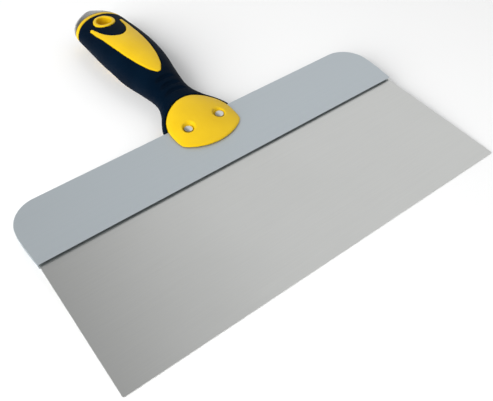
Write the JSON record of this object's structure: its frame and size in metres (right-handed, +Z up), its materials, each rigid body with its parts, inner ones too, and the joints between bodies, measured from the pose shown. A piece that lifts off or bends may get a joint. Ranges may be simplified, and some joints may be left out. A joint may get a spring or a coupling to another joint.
{
  "type": "drywall taping knife",
  "caption": "Drywall taping knife: a wide flat spring-steel blade in an aluminium backing bar, with a riveted two-material handle, a hang hole and a metal hammer cap.",
  "frame": {"origin": "under the middle of the bounding box, on the surface the knife lies on", "axes": "+Y from the blade's working edge to the butt of the handle, +X across the blade, +Z up; the knife lies on its working edge and the belly of its grip, so the blade leans about 3.8 degrees, higher towards the handle"},
  "size_m": [0.2574, 0.266, 0.027],
  "materials": {
    "spring_steel": "satin rolled spring steel",
    "bar_aluminium": "mill-finished extrusion with faint lengthwise lines",
    "yellow_plastic": "satin moulded plastic",
    "navy_rubber": "matt overmoulded soft grip",
    "plated_steel": "smooth bright plating",
    "rivet_metal": "smooth pressed heads"
  },
  "bodies": {
    "root": {"blade": "spring_steel", "backing_bar": "bar_aluminium", "handle_core": "yellow_plastic", "grip_skin": "navy_rubber", "hammer_cap": "plated_steel", "rivet_pin_left": "rivet_metal", "rivet_pin_right": "rivet_metal", "rivet_socket_left": "rivet_metal", "rivet_socket_right": "rivet_metal"}
  },
  "joints": []
}
